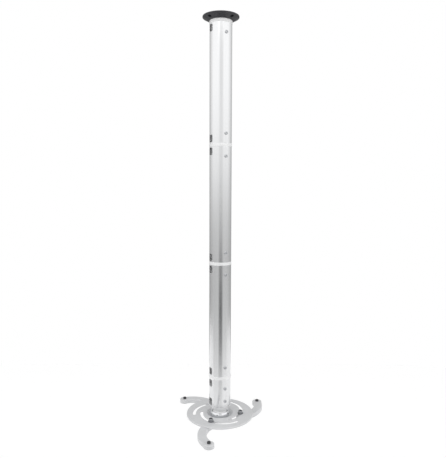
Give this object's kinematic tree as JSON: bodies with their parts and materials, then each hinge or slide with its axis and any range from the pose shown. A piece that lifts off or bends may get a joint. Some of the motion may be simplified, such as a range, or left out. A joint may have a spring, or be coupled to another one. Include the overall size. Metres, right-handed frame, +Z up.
{
  "type": "projector ceiling mount",
  "caption": "Sectional round tube column under a ceiling plate, ending in a ball-jointed head: a slotted disc with curved arms that slide and swing to reach a projector's screw holes.",
  "frame": {"origin": "middle of the ceiling plate's flat top, where it meets the ceiling", "axes": "+Z up along the column into the ceiling, -Y towards the row of front screws, X through the cable slots"},
  "size_m": [0.2886, 0.3192, 1.191],
  "materials": {
    "black_paint": "satin black paint",
    "tube": "satin anodised, drawn lengthwise",
    "collar": "turned and lightly bead blasted",
    "neck": "turned, satin",
    "chrome": "bright plated",
    "casting": "silver-grey painted die casting",
    "steel": "zinc plated",
    "nylon": "natural nylon",
    "black_plastic": "black moulded"
  },
  "bodies": {
    "column": {"ceiling_plate": "black_paint", "plate_screws": "steel", "ceiling_spigot": "collar", "ceiling_spigot_screws": "steel", "upper_tube": "tube", "coupler_1": "collar", "coupler_1_screws": "steel", "middle_tube": "tube", "coupler_2": "collar", "coupler_2_screws": "steel", "lower_tube": "tube", "coupler_3": "collar", "coupler_3_screws": "steel", "end_tube": "tube", "end_plug": "collar", "end_plug_screws": "steel"},
    "neck": {"swivel_neck": "neck", "swivel_bolt": "steel", "swivel_washer": "steel"},
    "seat": {"ball_seat": "nylon"},
    "head": {"carrier_plate": "casting", "clamp_ring": "chrome", "ring_screws": "steel"},
    "slide_1": {"arm_bolt_1": "steel", "arm_washer_1": "steel", "arm_nut_1": "steel"},
    "swing_arm_1": {"arm_1": "casting", "tip_bush_1": "black_plastic"},
    "slide_2": {"arm_bolt_2": "steel", "arm_washer_2": "steel", "arm_nut_2": "steel"},
    "swing_arm_2": {"arm_2": "casting", "tip_bush_2": "black_plastic"},
    "slide_3": {"arm_bolt_3": "steel", "arm_washer_3": "steel", "arm_nut_3": "steel"},
    "swing_arm_3": {"arm_3": "casting", "tip_bush_3": "black_plastic"}
  },
  "joints": [
    {"name": "head_yaw", "type": "hinge", "parent": "column", "child": "neck", "pos_m": [0, 0, -1.144], "axis": [0, 0, 1], "continuous": true},
    {"name": "head_pitch", "type": "hinge", "parent": "neck", "child": "seat", "pos_m": [0, 0, -1.174], "axis": [1, 0, 0], "range_deg": [-10, 10]},
    {"name": "head_roll", "type": "hinge", "parent": "seat", "child": "head", "pos_m": [0, 0, -1.174], "axis": [0, 1, 0], "range_deg": [-10, 10]},
    {"name": "arm_1_travel", "type": "hinge", "parent": "head", "child": "slide_1", "pos_m": [0.0061, 0.01148, -1.1745], "axis": [0, 0, 1], "range_deg": [-45.7, 85.3]},
    {"name": "arm_1_swing", "type": "hinge", "parent": "slide_1", "child": "swing_arm_1", "pos_m": [0.05077, -0.03778, -1.183], "axis": [0, 0, 1], "range_deg": [-119, 21]},
    {"name": "arm_2_travel", "type": "hinge", "parent": "head", "child": "slide_2", "pos_m": [-0.01299, -0.00045, -1.1745], "axis": [0, 0, 1], "range_deg": [-35.1, 95.9]},
    {"name": "arm_2_swing", "type": "hinge", "parent": "slide_2", "child": "swing_arm_2", "pos_m": [0.01864, 0.05804, -1.183], "axis": [0, 0, 1], "range_deg": [-94.5, 45.5]},
    {"name": "arm_3_travel", "type": "hinge", "parent": "head", "child": "slide_3", "pos_m": [0.00689, -0.01103, -1.1745], "axis": [0, 0, 1], "range_deg": [-60.5, 70.5]},
    {"name": "arm_3_swing", "type": "hinge", "parent": "slide_3", "child": "swing_arm_3", "pos_m": [-0.05236, -0.04122, -1.183], "axis": [0, 0, 1], "range_deg": [-87.6, 52.4]}
  ]
}
